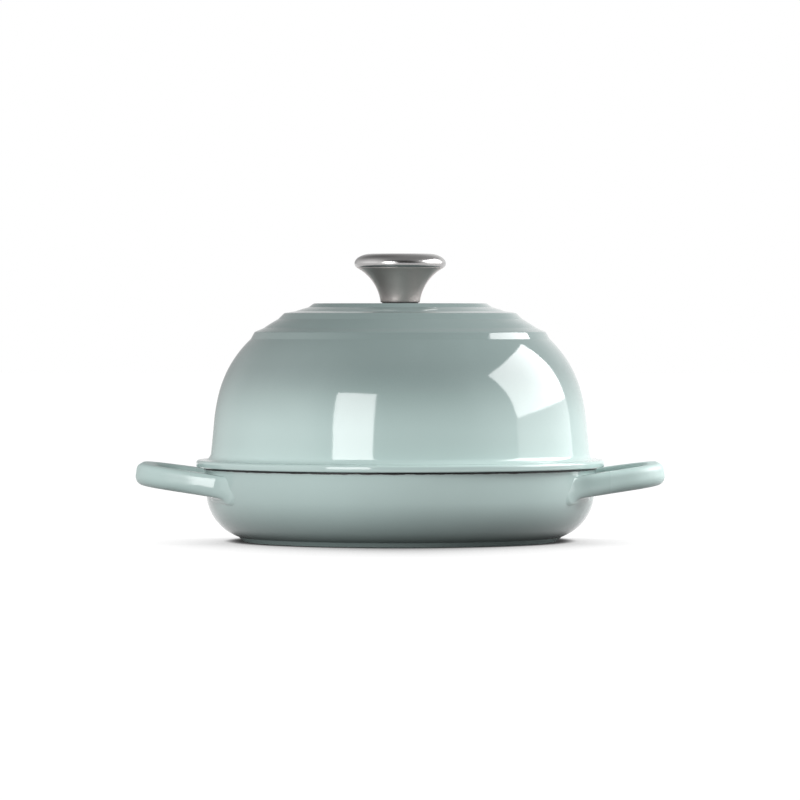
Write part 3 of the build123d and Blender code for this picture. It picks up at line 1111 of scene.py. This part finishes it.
@dataclass
class Lid:
    """Domed lid with a locating lip, a flange and raised steps on the crown, in millimetres."""

    seat: float = 45.4
    wall: float = 3.7
    flange_radius: float = 125.05
    ledge: float = 8.35
    flange_thickness: float = 4.4
    flange_top_round: float = 1.8
    flange_bottom_round: float = 0.9
    cove: float = 4.0
    lip_depth: float = 2.8
    lip_outer: float = 115.85
    lip_thickness: float = 2.6
    lip_round: float = 0.7
    dome_lean: float = 5.9
    straight: float = 23.8
    waist_radius: float = 124.5
    shoulder_lean: float = 13.3
    shoulder_radius: float = 69.5
    crown_radius: float = 79.7
    step_rise: float = 1.6
    plate_edge: float = 78.6
    plate_foot: float = 75.9
    band_dip: float = 69.9
    band_edge: float = 65.1
    band_foot: float = 61.6
    ring_dip: float = 54.2
    ring_edge: float = 49.9
    ring_foot: float = 46.7
    step_edge_round: float = 1.4
    step_foot_round: float = 0.6
    dip_round: float = 7.0
    bolt_hole: float = 3.4
    hole_coat: float = 0.6
    seat_round: float = 0.4
    bare_edge: float = 1.6
    straight_point: float = 0.4
    # Degrees that an arc stops short of the corner beside it.
    arc_gap: float = 1.0
    dip_gap: float = 1.5
    chord: float = 2.0
    inner_chord: float = 3.0
    unevenness: float = 0.06

    def waist_start(self) -> Point:
        """Top of the straight foot of the dome."""
        return polar((self.flange_radius - self.ledge, self.seat + self.flange_thickness), self.straight,
                     90.0 + self.dome_lean)

    def waist_centre(self) -> Point:
        """Centre of the wide arc above the straight foot."""
        return polar(self.waist_start(), -self.waist_radius, self.dome_lean)

    def shoulder_centre(self) -> Point:
        """Centre of the arc that turns the side into the crown."""
        start = polar(self.waist_centre(), self.waist_radius, self.shoulder_lean)
        return polar(start, -self.shoulder_radius, self.shoulder_lean)

    def crown_centre(self) -> Point:
        """Centre of the crown's flatter arc."""
        start = polar(self.shoulder_centre(), self.shoulder_radius, self.ring_foot)
        return polar(start, -self.crown_radius, self.ring_foot)

    def crown_top(self) -> float:
        """Height of the plate that the knob stands on."""
        return polar(self.crown_centre(), self.crown_radius + self.step_rise, self.plate_edge)[1]

    def ceiling(self) -> float:
        """Height of the flat inside the crown."""
        return self.crown_centre()[1] + self.crown_radius - self.wall

    def outline(self) -> Outline:
        """Closed half section, from the bolt's hole over the crown, round the flange and back inside.

        Returns:
            The outline.
        """
        waist, shoulder, crown = self.waist_centre(), self.shoulder_centre(), self.crown_centre()
        low, high = self.crown_radius, self.crown_radius + self.step_rise
        foot = (self.flange_radius - self.ledge, self.seat + self.flange_thickness)
        section = Outline(closed=True)
        section.line(self.bolt_hole, self.ceiling(), 0.0, Gloss.BLACK)
        section.line(self.bolt_hole, self.crown_top() - self.hole_coat, 0.0, Gloss.BLACK)
        inside = self._inside()
        lip_inner = self.lip_outer - self.lip_thickness
        lip_bottom = self.seat - self.lip_depth
        section.corners += [Corner(r, h, 0.0, Gloss.BLACK) for r, h in inside]
        section.line(lip_inner, lip_bottom, self.lip_round, Gloss.BLACK)
        section.line(self.lip_outer, lip_bottom, self.lip_round, Gloss.BLACK)
        section.line(self.lip_outer, self.seat, self.seat_round, Gloss.BLACK)
        section.line(self.flange_radius - self.bare_edge, self.seat, 0.0, Gloss.BLACK)
        section.line(self.flange_radius, self.seat, self.flange_bottom_round)
        section.line(self.flange_radius, foot[1], self.flange_top_round)
        section.line(*foot, self.cove)
        section.line(*polar(foot, self.straight * self.straight_point, 90.0 + self.dome_lean))
        section.arc(waist, self.waist_radius, self.dome_lean, self.shoulder_lean, self.chord)
        section.arc(shoulder, self.shoulder_radius, self.shoulder_lean + self.arc_gap, self.ring_foot - self.arc_gap,
                    self.chord)
        section.line(*polar(crown, low, self.ring_foot), self.step_foot_round)
        section.line(*polar(crown, high, self.ring_edge), self.step_edge_round)
        section.line(*polar(crown, low, self.ring_dip), self.dip_round)
        section.arc(crown, low, self.ring_dip + self.dip_gap, self.band_foot - self.arc_gap, self.chord)
        section.line(*polar(crown, low, self.band_foot), self.step_foot_round)
        section.line(*polar(crown, high, self.band_edge), self.step_edge_round)
        section.line(*polar(crown, low, self.band_dip), self.dip_round)
        section.arc(crown, low, self.band_dip + self.dip_gap, self.plate_foot - self.arc_gap, self.chord)
        section.line(*polar(crown, low, self.plate_foot), self.step_foot_round)
        section.line(*polar(crown, high, self.plate_edge), self.step_edge_round)
        section.line(self.bolt_hole, self.crown_top())
        section.corners = section.corners[2:] + section.corners[:2]
        return section

    def _inside(self) -> list[Point]:
        """Points of the inner face, from the ceiling down to the lip.

        Returns:
            The points, as radius and height.
        """
        waist, shoulder, crown = self.waist_centre(), self.shoulder_centre(), self.crown_centre()
        inner_waist, inner_crown = self.waist_radius - self.wall, self.crown_radius - self.wall
        face = Outline()
        inner_shoulder = self.shoulder_radius - self.wall
        face.arc(crown, inner_crown, 90.0, self.ring_foot, self.inner_chord)
        face.arc(shoulder, inner_shoulder, self.ring_foot - 2.0 * self.arc_gap, self.shoulder_lean, self.inner_chord)
        face.arc(waist, inner_waist, self.shoulder_lean - self.arc_gap, self.dome_lean, self.inner_chord)
        top = polar(waist, inner_waist, self.dome_lean)
        lip_inner = self.lip_outer - self.lip_thickness
        slope = math.tan(math.radians(self.dome_lean))
        row = [(c.radius, c.height) for c in face.corners]
        meet = top[1] - (lip_inner - top[0]) / slope
        if meet > self.seat - self.lip_depth:
            row.append((lip_inner, meet))
        return row


@dataclass
class Knob:
    """Flared steel knob on a gasket, in millimetres."""

    base: float
    base_radius: float = 12.0
    base_round: float = 0.9
    rim_radius: float = 26.9
    height: float = 21.5
    flare_radius: float = 28.0
    wall: float = 2.0
    hub_height: float = 13.0
    bore: float = 5.03
    cap_height: float = 8.6
    cap_radius: float = 28.0
    cap_widest: float = 2.5
    cap_under_round: float = 3.5
    cap_top_reach: float = 10.5
    cap_crown: float = 0.2
    cap_wall: float = 1.6
    spigot_depth: float = 1.5
    spigot_clearance: float = 0.2
    spigot_round: float = 0.3
    edge_round: float = 0.15
    side_from: float = 1.5
    side_steps: int = 24
    inner_steps: int = 8
    cap_foot_gap: float = 6.0
    cap_side_gap: float = 5.0
    cap_chord: float = 0.35
    cap_steps: int = 22

    @property
    def rim(self) -> float:
        """Height of the stem's mouth."""
        return self.base + self.height

    def flare(self, height: float, wall: float) -> Point:
        """Find the flared side at a height.

        Args:
            height: The height.
            wall: How far inside the outer face the point lies.

        Returns:
            The point, as radius and height.
        """
        centre = arc_centre((self.base_radius, self.base), (self.rim_radius, self.rim), self.flare_radius)
        reach = math.sqrt((self.flare_radius + wall) ** 2 - (height - centre[1]) ** 2)
        return (centre[0] - reach, height)

    def stem_outline(self) -> Outline:
        """Closed half section of the stem.

        Returns:
            The outline.
        """
        section = Outline(closed=True)
        hub_top = self.base + self.hub_height
        section.line(self.bore, hub_top)
        section.line(self.bore, self.base)
        section.line(self.base_radius, self.base, self.base_round)
        for k in range(1, self.side_steps):
            height = self.base + self.side_from + (self.height - self.side_from) * k / self.side_steps
            section.line(*self.flare(height, 0.0))
        section.line(*self.flare(self.rim, 0.0), self.edge_round)
        section.line(*self.flare(self.rim, self.wall), self.edge_round)
        for k in range(1, self.inner_steps + 1):
            height = self.rim - (self.rim - hub_top) * k / self.inner_steps
            section.line(*self.flare(height, self.wall))
        return section

    def cap_outline(self) -> Outline:
        """Half section of the cap, from inside its spigot round its rim to the middle of its top.

        Returns:
            The outline.
        """
        top = self.rim + self.cap_height
        widest = self.rim + self.cap_widest
        under = self.cap_radius - self.cap_under_round
        reach = self.cap_radius - self.cap_top_reach
        foot_angle = -math.degrees(math.asin(self.cap_widest / self.cap_under_round))
        spigot_bottom = self.rim - self.spigot_depth
        spigot_outer = self.flare(spigot_bottom, self.wall)[0] - self.spigot_clearance
        spigot_inner = spigot_outer - self.cap_wall
        section = Outline(degrees_per_step=6.0)
        section.line(0.0, top - self.cap_wall)
        section.line(spigot_inner, top - self.cap_wall, self.spigot_round)
        section.line(spigot_inner, spigot_bottom, self.spigot_round)
        section.line(spigot_outer, spigot_bottom, self.spigot_round)
        section.line(spigot_outer, self.rim, self.spigot_round)
        section.line(*polar((under, widest), self.cap_under_round, foot_angle), self.edge_round)
        section.arc((under, widest), self.cap_under_round, foot_angle + self.cap_foot_gap, -self.cap_side_gap,
                    self.cap_chord)
        for k in range(self.cap_steps + 1):
            turn = math.pi / 2.0 * k / self.cap_steps
            section.line(reach + self.cap_top_reach * math.cos(turn),
                         widest + (top - self.cap_crown - widest) * math.sin(turn))
        section.line(0.0, top)
        return section


@dataclass
class Bolt:
    """Cross-recessed bolt with a real thread, head down inside the lid, in millimetres."""

    head_top: float
    shank_root: float = 2.5
    crest: float = 2.94
    length: float = 20.0
    pitch: float = 1.0
    head_radius: float = 6.0
    head_height: float = 3.8
    head_round: float = 1.6
    head_edge_round: float = 0.25
    neck_end: float = 1.2
    core_start: float = 1.7
    tip_chamfer: float = 0.9
    thread_start: float = 1.9
    unthreaded: float = 3.4
    ridge_overlap: float = 1.05
    steps_per_turn: int = 36
    recess_length: float = 6.6
    recess_width: float = 1.2
    recess_depth: float = 2.2
    recess_taper: float = 0.8
    recess_overcut: float = 1.0

    def outline(self) -> Outline:
        """Half section of the head and the thread's core.

        Returns:
            The outline.
        """
        bottom = self.head_top - self.head_height
        tip = self.head_top + self.length
        section = Outline()
        section.line(0.0, bottom)
        section.line(self.head_radius, bottom, self.head_round)
        section.line(self.head_radius, self.head_top, self.head_edge_round)
        section.line(self.crest, self.head_top)
        section.line(self.crest, self.head_top + self.neck_end)
        section.line(self.shank_root, self.head_top + self.core_start)
        section.line(self.shank_root, tip - self.tip_chamfer)
        section.line(self.shank_root - self.tip_chamfer, tip)
        section.line(0.0, tip)
        return section

    def recess(self) -> bpy.types.Object:
        """Make the cross that is cut out of the head.

        Returns:
            The cross as a mesh, narrower at its deep end.
        """
        half_length, half_width = self.recess_length / 2.0, self.recess_width / 2.0
        plan = [(half_length, -half_width), (half_length, half_width), (half_width, half_width),
                (half_width, half_length), (-half_width, half_length), (-half_width, half_width),
                (-half_length, half_width), (-half_length, -half_width), (-half_width, -half_width),
                (-half_width, -half_length), (half_width, -half_length), (half_width, -half_width)]
        bottom = self.head_top - self.head_height
        count = len(plan)
        taper = self.recess_taper
        low = [(x * MM, y * MM, (bottom - self.recess_overcut) * MM) for x, y in plan]
        high = [(x * taper * MM, y * taper * MM, (bottom + self.recess_depth) * MM) for x, y in plan]
        sides = [(k, (k + 1) % count, count + (k + 1) % count, count + k) for k in range(count)]
        mesh = bpy.data.meshes.new("recess")
        mesh.from_pydata(low + high, [], sides + [tuple(range(count - 1, -1, -1)), tuple(range(count, 2 * count))])
        return add_object("recess", mesh)


class ClocheBuilder:
    """Builds every piece and rides it on its body. Thicknesses are in millimetres."""

    CASTING_SEGMENTS = 288
    KNOB_SEGMENTS = 160
    BOLT_SEGMENTS = 64
    GASKET_THICKNESS = 0.5
    FLAT_WASHER_THICKNESS = 1.6
    SPRING_WASHER_THICKNESS = 1.5

    def __init__(self, frame: dict[str, Any]) -> None:
        """Make the trees and the finishes.

        Args:
            frame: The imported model, as it was loaded.
        """
        self.frame = frame
        self.turned = TurnedTree()
        self.thread = ThreadTree()
        self.enamel = Enamel("enamelled_iron").build()
        self.steel = SpunSteel("satin_steel").build()
        # The cap's steel is a darker copy of the stem's: painted shade.
        self.shaded_cap_steel = SpunSteel("satin_steel_cap_shaded", colour=(0.41, 0.402, 0.398), roughness=0.23).build()
        self.fastener = SpunSteel("fastener_steel", colour=(0.66, 0.66, 0.65), roughness=0.24).build()
        self.rubber = HeatProofRubber("gasket").build()

    def place(self, piece: bpy.types.Object, body: Body, slot: Slot, *nodes: str) -> None:
        """Ride a piece on its body in place of CAD nodes.

        Args:
            piece: The finished piece.
            body: The body that it moves with.
            slot: Its material slot in the record; not used.
            nodes: The CAD nodes that it replaces.
        """
        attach(piece, body.value)
        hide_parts(*nodes)
        LOG.info("%s: %d faces on %s", piece.name, len(piece.data.polygons), body.value)

    def dress(self, node: str, material: bpy.types.Material) -> None:
        """Give a CAD node that keeps its own shape a better material.

        Args:
            node: The node's name.
            material: The material.
        """
        for slot in self.frame["nodes"][node].material_slots:
            slot.material = material
        LOG.info("%s: kept, in %s", node, material.name)

    def build_pan(self) -> Pan:
        """Build the pan casting with its handles.

        Returns:
            The pan's sizes.
        """
        pan = Pan()
        handles = LoopHandle(pan).build()
        piece = self.turned.turn("pan_casting", pan.outline(), self.enamel, self.CASTING_SEGMENTS, pan.unevenness,
                                 handles)
        self.place(piece, Body.PAN, Slot.ENAMEL, "pan")
        return pan

    def build_lid(self) -> Lid:
        """Build the lid casting.

        Returns:
            The lid's sizes.
        """
        lid = Lid()
        piece = self.turned.turn("lid_casting", lid.outline(), self.enamel, self.CASTING_SEGMENTS, lid.unevenness)
        self.place(piece, Body.LID, Slot.ENAMEL, "lid_dome")
        return lid

    def build_knob(self, lid: Lid) -> None:
        """Build the knob's stem and cap, and dress its gasket and insert.

        Args:
            lid: The lid that it stands on.
        """
        knob = Knob(lid.crown_top() + self.GASKET_THICKNESS)
        stem = self.turned.turn("knob_stem_turned", knob.stem_outline(), self.steel, self.KNOB_SEGMENTS)
        self.place(stem, Body.LID, Slot.STEEL, "knob_stem")
        cap = self.turned.turn("knob_cap_pressed", knob.cap_outline(), self.shaded_cap_steel, self.KNOB_SEGMENTS)
        self.place(cap, Body.LID, Slot.STEEL, "knob_cap")
        self.dress("knob_gasket", self.rubber)
        self.dress("knob_insert", self.fastener)

    def build_fixings(self, lid: Lid) -> None:
        """Build the threaded bolt, and dress the washers.

        Args:
            lid: The lid that they hang under.
        """
        self.dress("flat_washer", self.fastener)
        self.dress("spring_washer", self.fastener)
        bolt = Bolt(lid.ceiling() - self.FLAT_WASHER_THICKNESS - self.SPRING_WASHER_THICKNESS)
        body = self.turned.turn("bolt_body", bolt.outline(), self.fastener, self.BOLT_SEGMENTS)
        recess = bolt.recess()
        cut = body.modifiers.new("recess", "BOOLEAN")
        cut.operation = "DIFFERENCE"
        cut.solver = "EXACT"
        cut.object = recess
        body = baked(body, "bolt_body")
        bpy.data.objects.remove(recess)
        ridge = (bolt.crest - bolt.shank_root) * bolt.ridge_overlap
        threaded = bolt.length - bolt.unthreaded
        start = add_object("bolt_thread", bpy.data.meshes.new("bolt_thread"))
        winding = self.thread.apply(start, "bolt_thread", {
            "Turns": threaded / bolt.pitch, "Radius": (bolt.crest - ridge) * MM, "Length": threaded * MM,
            "Foot": (bolt.head_top + bolt.thread_start) * MM, "Ridge": ridge * MM,
            "Steps per Turn": bolt.steps_per_turn, "Material": self.fastener})
        piece = self.joined("lid_bolt_threaded", [body, winding])
        self.place(piece, Body.BOLT, Slot.FASTENER, "lid_bolt")

    @staticmethod
    def joined(name: str, pieces: Sequence[bpy.types.Object]) -> bpy.types.Object:
        """Join pieces of one material.

        Args:
            name: Name of the joined piece.
            pieces: The pieces.

        Returns:
            The joined piece, which is the first one.
        """
        with bpy.context.temp_override(active_object=pieces[0], selected_editable_objects=list(pieces)):
            bpy.ops.object.join()
        pieces[0].name = name
        pieces[0].data.name = name
        return pieces[0]


@dataclass(frozen=True)
class SoftBox:
    """One studio lamp, aimed at the object. Sizes are in metres, and azimuth 0 is at the camera."""

    name: str
    azimuth: float
    elevation: float
    distance: float
    width: float
    height: float
    watts: float
    aim_height: float = 0.08

    def build(self) -> None:
        """Put the lamp into the scene."""
        lamp = bpy.data.lights.new(self.name, "AREA")
        lamp.shape = "RECTANGLE"
        lamp.size = self.width
        lamp.size_y = self.height
        lamp.energy = self.watts
        holder = bpy.data.objects.new(self.name, lamp)
        bpy.context.scene.collection.objects.link(holder)
        flat = math.cos(math.radians(self.elevation)) * self.distance
        target = Vector((0.0, 0.0, self.aim_height))
        offset = Vector((math.sin(math.radians(self.azimuth)) * flat, -math.cos(math.radians(self.azimuth)) * flat,
                         math.sin(math.radians(self.elevation)) * self.distance))
        holder.location = target + offset
        holder.rotation_euler = (-offset).to_track_quat("-Z", "Y").to_euler()


@dataclass
class Studio:
    """Plain pale floor, white surroundings, soft lamps and the camera, in metres."""

    camera_distance: float = 3.2
    camera_shift: float = -0.00012
    eye_height: float = 0.1389
    aim_height: float = 0.0863
    lens: float = 234.71
    sensor: float = 36.0
    clip_end: float = 60.0
    ambient: float = 0.50
    left_fill: float = 0.72
    left_mirrored: float = 0.6
    # How bright the room is at each height of the look, from level to straight up.
    wall_tones: tuple[Point, ...] = ((0.0, 1.0), (0.30, 1.0), (0.55, 0.58), (0.85, 0.42), (1.0, 0.38))
    # How far the look points to a side where that side of the room starts and is full.
    left_side: Point = (0.25, 0.9)
    corner_ahead: Point = (0.05, 0.6)
    corner_side: Point = (-0.1, 0.2)
    corner_darkness: float = 0.5
    front: Point = (0.35, 0.85)
    front_darkness: float = 0.93
    floor_half: float = 9.0
    floor_drop: float = 0.0001
    floor_lit: Colour = (0.06, 0.06, 0.06)
    floor_plain: Colour = (0.10, 0.10, 0.10)
    floor_least: float = 0.02
    # The painted shadow in the floor's glow looks this far around, leaning to each side and to the back.
    shadow_samples: int = 16
    shadow_reach: float = 0.30
    shadow_lean: Point = (2.2, 2.0)
    shadow_least: float = 0.31
    shadow_gain: float = 1.62
    contact_reach: float = 0.008
    contact_fade: Point = (0.1, 0.8)
    lamps: tuple[SoftBox, ...] = (
        SoftBox("left_softbox", azimuth=-28.0, elevation=13.0, distance=1.5, width=0.64, height=0.80, watts=14.0),
        SoftBox("right_softbox", azimuth=100.0, elevation=27.5, distance=1.3, width=1.25, height=0.77, watts=25.0),
        SoftBox("right_low_softbox", azimuth=100.0, elevation=6.5, distance=1.3, width=1.25, height=0.205, watts=1.4))

    def build_camera(self) -> None:
        """Camera at the photograph's viewing angle."""
        data = bpy.data.cameras.new("camera")
        data.lens = self.lens
        data.sensor_width = self.sensor
        data.clip_end = self.clip_end
        camera = bpy.data.objects.new("camera", data)
        bpy.context.scene.collection.objects.link(camera)
        camera.location = (self.camera_shift, -self.camera_distance, self.eye_height)
        down = math.atan2(self.eye_height - self.aim_height, self.camera_distance)
        camera.rotation_euler = (math.pi / 2.0 - down, 0.0, 0.0)
        bpy.context.scene.camera = camera

    def build_world(self) -> None:
        """White to the eye; in reflections, white side walls under a dim ceiling and a dark room to the front."""
        world = bpy.data.worlds.new("studio")
        world.use_nodes = True
        bpy.context.scene.world = world
        bench = Bench(world.node_tree)
        direction = bench.node("ShaderNodeSeparateXYZ", {}, {
            0: bench.make("ShaderNodeTexCoord", {}, {}, "Generated")})
        across, ahead, rise = (bench.output(direction, axis) for axis in "XYZ")
        walls = bench.make("ShaderNodeValToRGB", {"stops": self.wall_tones}, {"Fac": rise})
        left = bench.step(0.0 - across, *self.left_side)
        corner = bench.step(ahead, *self.corner_ahead) * bench.step(0.0 - across, *self.corner_side)
        front = bench.step(0.0 - ahead, *self.front)
        room = 1.0 - front * self.front_darkness - corner * self.corner_darkness
        fill = bench.make("ShaderNodeBackground", {}, {"Color": walls * (left * self.left_fill + self.ambient)})
        mirrored = bench.make("ShaderNodeBackground", {}, {"Color": walls * room + left * self.left_mirrored})
        seen = bench.make("ShaderNodeBackground", {}, {"Color": (1.0, 1.0, 1.0)})
        lighting = bench.make("ShaderNodeMixShader", {}, {0: bench.rays("Is Glossy Ray"), 1: fill, 2: mirrored})
        straight = bench.rays("Is Camera Ray", "Is Transmission Ray")
        both = bench.make("ShaderNodeMixShader", {}, {0: straight, 1: lighting, 2: seen})
        bench.node("ShaderNodeOutputWorld", {}, {"Surface": both})

    def open_towards(self, bench: Bench, facing: Field, side: float) -> Field:
        """How much of the studio a spot on the floor sees, looking to the back and to one side.

        Args:
            bench: The floor's bench.
            facing: The floor's own direction.
            side: How far the look leans along X.

        Returns:
            1 where nothing is in the way.
        """
        lean = (side, self.shadow_lean[1], 0.0)
        leaning = bench.make("ShaderNodeVectorMath", {"operation": "ADD"}, {0: facing, 1: lean})
        return bench.make("ShaderNodeAmbientOcclusion", {"samples": self.shadow_samples}, {
            "Distance": self.shadow_reach, "Normal": leaning}, "AO")

    def build_floor(self) -> None:
        """Pale floor, white to the eye, with the object's shadow painted into its glow from ambient occlusion."""
        half = self.floor_half
        mesh = bpy.data.meshes.new("floor")
        mesh.from_pydata([(-half, -half, 0.0), (half, -half, 0.0), (half, half, 0.0), (-half, half, 0.0)], [],
                         [(0, 1, 2, 3)])
        floor = add_object("floor", mesh)
        floor.location.z = -self.floor_drop
        material, bench = new_material("floor")
        facing = bench.make("ShaderNodeNewGeometry", {}, {}, "Normal")
        left, right = (self.open_towards(bench, facing, way * self.shadow_lean[0]) for way in (-1.0, 1.0))
        close = bench.make("ShaderNodeAmbientOcclusion", {"samples": self.shadow_samples}, {
            "Distance": self.contact_reach}, "AO")
        opened = (bench.sum("MAXIMUM", left, right) - self.shadow_least) * self.shadow_gain
        # Painted shadow: the floor's glow dims where the object hides the studio.
        painted_shadow_glow = opened * bench.step(close, *self.contact_fade)
        lit = bench.make("ShaderNodeBsdfDiffuse", {}, {"Color": self.floor_lit})
        own = bench.make("ShaderNodeEmission", {}, {"Color": bench.clamped(painted_shadow_glow) + self.floor_least})
        white = bench.make("ShaderNodeAddShader", {}, {0: lit, 1: own})
        plain = bench.make("ShaderNodeBsdfDiffuse", {}, {"Color": self.floor_plain})
        shown = bench.rays("Is Camera Ray", "Is Glossy Ray", "Is Transmission Ray")
        both = bench.make("ShaderNodeMixShader", {}, {0: shown, 1: plain, 2: white})
        bench.node("ShaderNodeOutputMaterial", {}, {"Surface": both})
        mesh.materials.append(material)

    def build(self) -> None:
        """Everything that isn't the object."""
        self.build_camera()
        self.build_world()
        self.build_floor()
        for lamp in self.lamps:
            lamp.build()
        bpy.context.scene.view_settings.view_transform = "Standard"


def corners(box: Sequence[Vector]) -> list[list[float]]:
    """A box's two corners as plain lists."""
    return [[float(c) for c in corner] for corner in box]


def main() -> None:
    """Build the studio and the object around the frame."""
    logging.basicConfig(level=logging.INFO, format="%(name)s: %(message)s")
    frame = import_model()
    Studio().build()
    builder = ClocheBuilder(frame)
    builder.build_pan()
    lid = builder.build_lid()
    builder.build_knob(lid)
    builder.build_fixings(lid)


if __name__ == "__main__":
    main()
